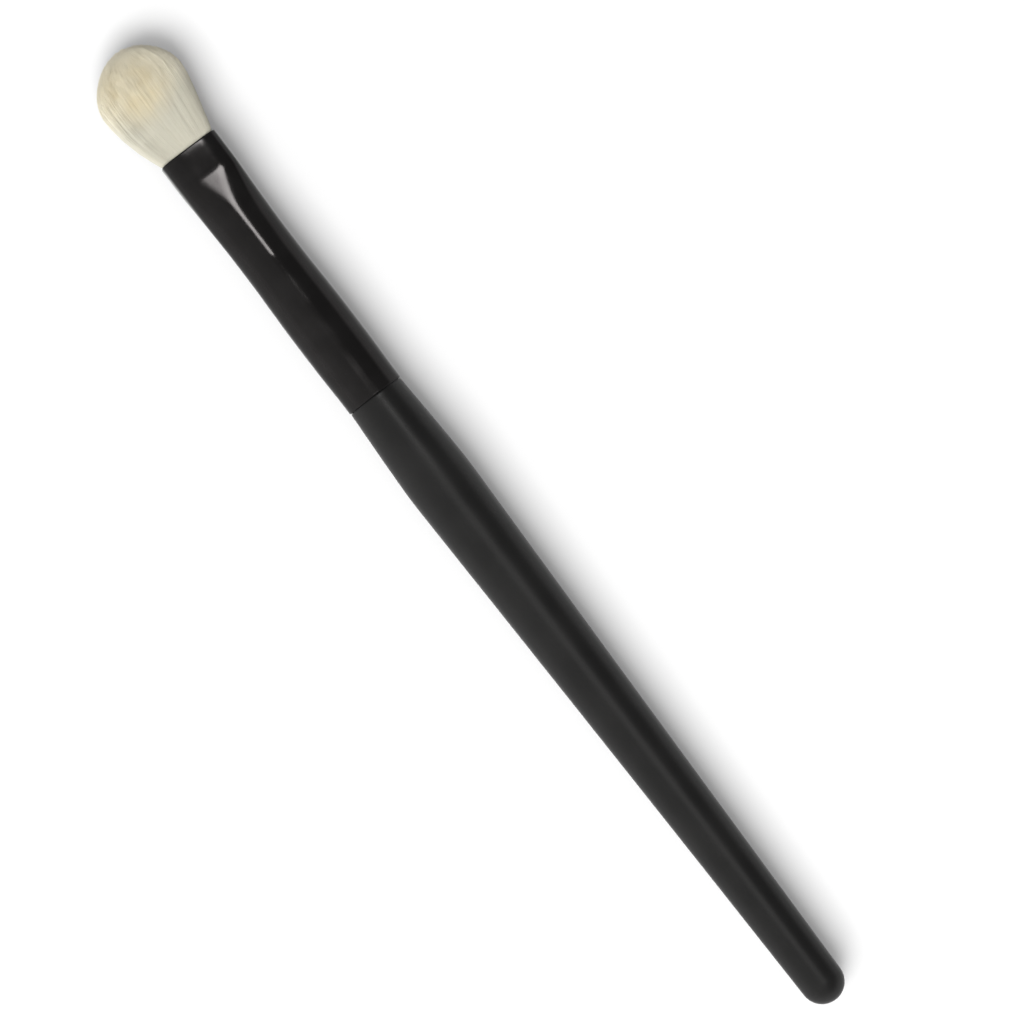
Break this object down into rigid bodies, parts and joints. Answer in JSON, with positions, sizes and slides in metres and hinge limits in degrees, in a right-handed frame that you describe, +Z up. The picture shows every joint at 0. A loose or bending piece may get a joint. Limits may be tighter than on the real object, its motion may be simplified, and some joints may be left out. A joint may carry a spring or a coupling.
{
  "type": "makeup blending brush",
  "caption": "Slim makeup blending brush: domed, slightly flattened natural hair tuft in an oval-mouthed ferrule on a turned, tapering handle.",
  "frame": {"origin": "on the surface the brush lies on, under the middle of its length and of its width", "axes": "+X along the brush from the tip of the hair to the butt of the handle, +Y across the flattened tuft, +Z up from the surface it lies on"},
  "size_m": [0.17, 0.0139, 0.01],
  "materials": {
    "handle": "matte black lacquer over turned hardwood",
    "ferrule": "glossy black lacquer on a drawn metal tube",
    "hair": "soft natural cream hair",
    "thread": "waxed binding thread",
    "resin": "cured clear amber resin",
    "glue": "cured cream adhesive"
  },
  "bodies": {
    "root": {"handle": "handle", "ferrule": "ferrule", "hair_tuft": "hair", "tuft_binding": "thread", "resin_plug": "resin", "tenon_adhesive_front": "glue", "tenon_adhesive_rear": "glue"}
  },
  "joints": []
}
